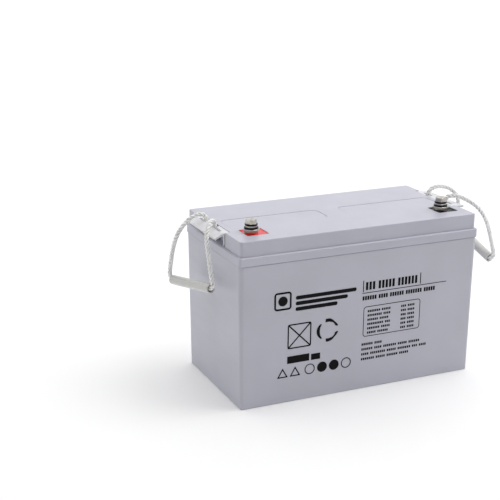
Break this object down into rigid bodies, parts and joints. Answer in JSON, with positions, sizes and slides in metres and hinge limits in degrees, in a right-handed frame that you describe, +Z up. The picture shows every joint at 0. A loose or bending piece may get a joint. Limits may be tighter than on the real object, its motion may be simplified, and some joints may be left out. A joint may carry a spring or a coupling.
{
  "type": "deep cycle battery",
  "caption": "Sealed rectangular deep cycle battery with a raised lid, bolted terminals on square pads near the front edge, and a rope handle with a tube grip at each end.",
  "frame": {"origin": "centre of the base, on the surface that the battery stands on", "axes": "+Z up, +X along the long side from the positive to the negative terminal, -Y out of the printed front"},
  "size_m": [0.4137, 0.172, 0.2281],
  "materials": {
    "case_grey": "moulded ABS, fine satin texture",
    "lid_grey": "moulded ABS, fine satin texture",
    "anchor_plastic": "moulded polypropylene",
    "sealant": "cured epoxy",
    "cap_rubber": "soft moulded rubber",
    "arrestor_felt": "porous felt disc",
    "positive_paste": "pasted lead grid, dark brown",
    "negative_paste": "pasted lead grid, grey",
    "glass_mat": "absorbent glass mat",
    "lead": "cast lead, dull",
    "tinned_brass": "tinned brass",
    "pad_red": "red epoxy, glossy",
    "pad_black": "black epoxy, glossy",
    "zinc_steel": "zinc plated steel",
    "dark_spring_steel": "dark spring steel",
    "print_ink": "screen printed ink",
    "rope_nylon": "three-strand twisted nylon rope",
    "grip_plastic": "extruded plastic tube"
  },
  "bodies": {
    "case": {"container": "case_grey", "lid": "lid_grey", "lid_seal_bead": "sealant", "vent_cover_left": "lid_grey", "vent_cover_right": "lid_grey", "valve_caps": "cap_rubber", "flame_arrestor_discs": "arrestor_felt", "positive_plates": "positive_paste", "negative_plates": "negative_paste", "separators": "glass_mat", "positive_straps": "lead", "negative_straps": "lead", "intercell_connectors": "lead", "positive_post": "lead", "negative_post": "lead", "positive_insert": "tinned_brass", "negative_insert": "tinned_brass", "positive_o_ring": "cap_rubber", "negative_o_ring": "cap_rubber", "positive_pad": "pad_red", "negative_pad": "pad_black", "rope_anchor_plate_left": "anchor_plastic", "rope_anchor_plate_right": "anchor_plastic", "rope_ends_left": "rope_nylon", "rope_ends_right": "rope_nylon"},
    "positive_washers": {"positive_flat_washer": "zinc_steel", "positive_middle_washer": "dark_spring_steel", "positive_spring_washer": "zinc_steel", "positive_top_washer": "dark_spring_steel"},
    "positive_screw": {"positive_bolt": "zinc_steel"},
    "negative_washers": {"negative_flat_washer": "zinc_steel", "negative_middle_washer": "dark_spring_steel", "negative_spring_washer": "zinc_steel", "negative_top_washer": "dark_spring_steel"},
    "negative_screw": {"negative_bolt": "zinc_steel"},
    "handle_left": {"rope_left": "rope_nylon"},
    "handle_right": {"rope_right": "rope_nylon"},
    "tube_left": {"grip_left": "grip_plastic"},
    "tube_right": {"grip_right": "grip_plastic"}
  },
  "joints": [
    {"name": "left_handle_swing", "type": "hinge", "parent": "case", "child": "handle_left", "pos_m": [-0.1615, 0.007, 0.2164], "axis": [0, 1, 0], "range_deg": [0, 140]},
    {"name": "right_handle_swing", "type": "hinge", "parent": "case", "child": "handle_right", "pos_m": [0.1615, 0.007, 0.2164], "axis": [0, -1, 0], "range_deg": [0, 140]},
    {"name": "left_grip_spin", "type": "hinge", "parent": "handle_left", "child": "tube_left", "pos_m": [-0.1805, -0.0355, 0.1435], "axis": [-0.1932, 0.9716, -0.1364], "continuous": true},
    {"name": "right_grip_spin", "type": "hinge", "parent": "handle_right", "child": "tube_right", "pos_m": [0.2, -0.067, 0.144], "axis": [0.0298, 0.9683, 0.2478], "continuous": true},
    {"name": "positive_washers_lift", "type": "slide", "parent": "case", "child": "positive_washers", "axis": [0, 0, 1], "range_m": [0, 0.0125]},
    {"name": "positive_bolt_turn", "type": "hinge", "parent": "positive_washers", "child": "positive_screw", "pos_m": [-0.13283, -0.047, 0.2228], "axis": [0, 0, 1], "range_deg": [0, 3605]},
    {"name": "negative_washers_lift", "type": "slide", "parent": "case", "child": "negative_washers", "axis": [0, 0, 1], "range_m": [0, 0.0125]},
    {"name": "negative_bolt_turn", "type": "hinge", "parent": "negative_washers", "child": "negative_screw", "pos_m": [0.13283, -0.047, 0.2228], "axis": [0, 0, 1], "range_deg": [0, 3605]}
  ],
  "couplings": [
    {"joint": "positive_bolt_turn", "follows": "positive_washers_lift", "rad_per_m": 5026.5},
    {"joint": "negative_bolt_turn", "follows": "negative_washers_lift", "rad_per_m": 5026.5}
  ]
}
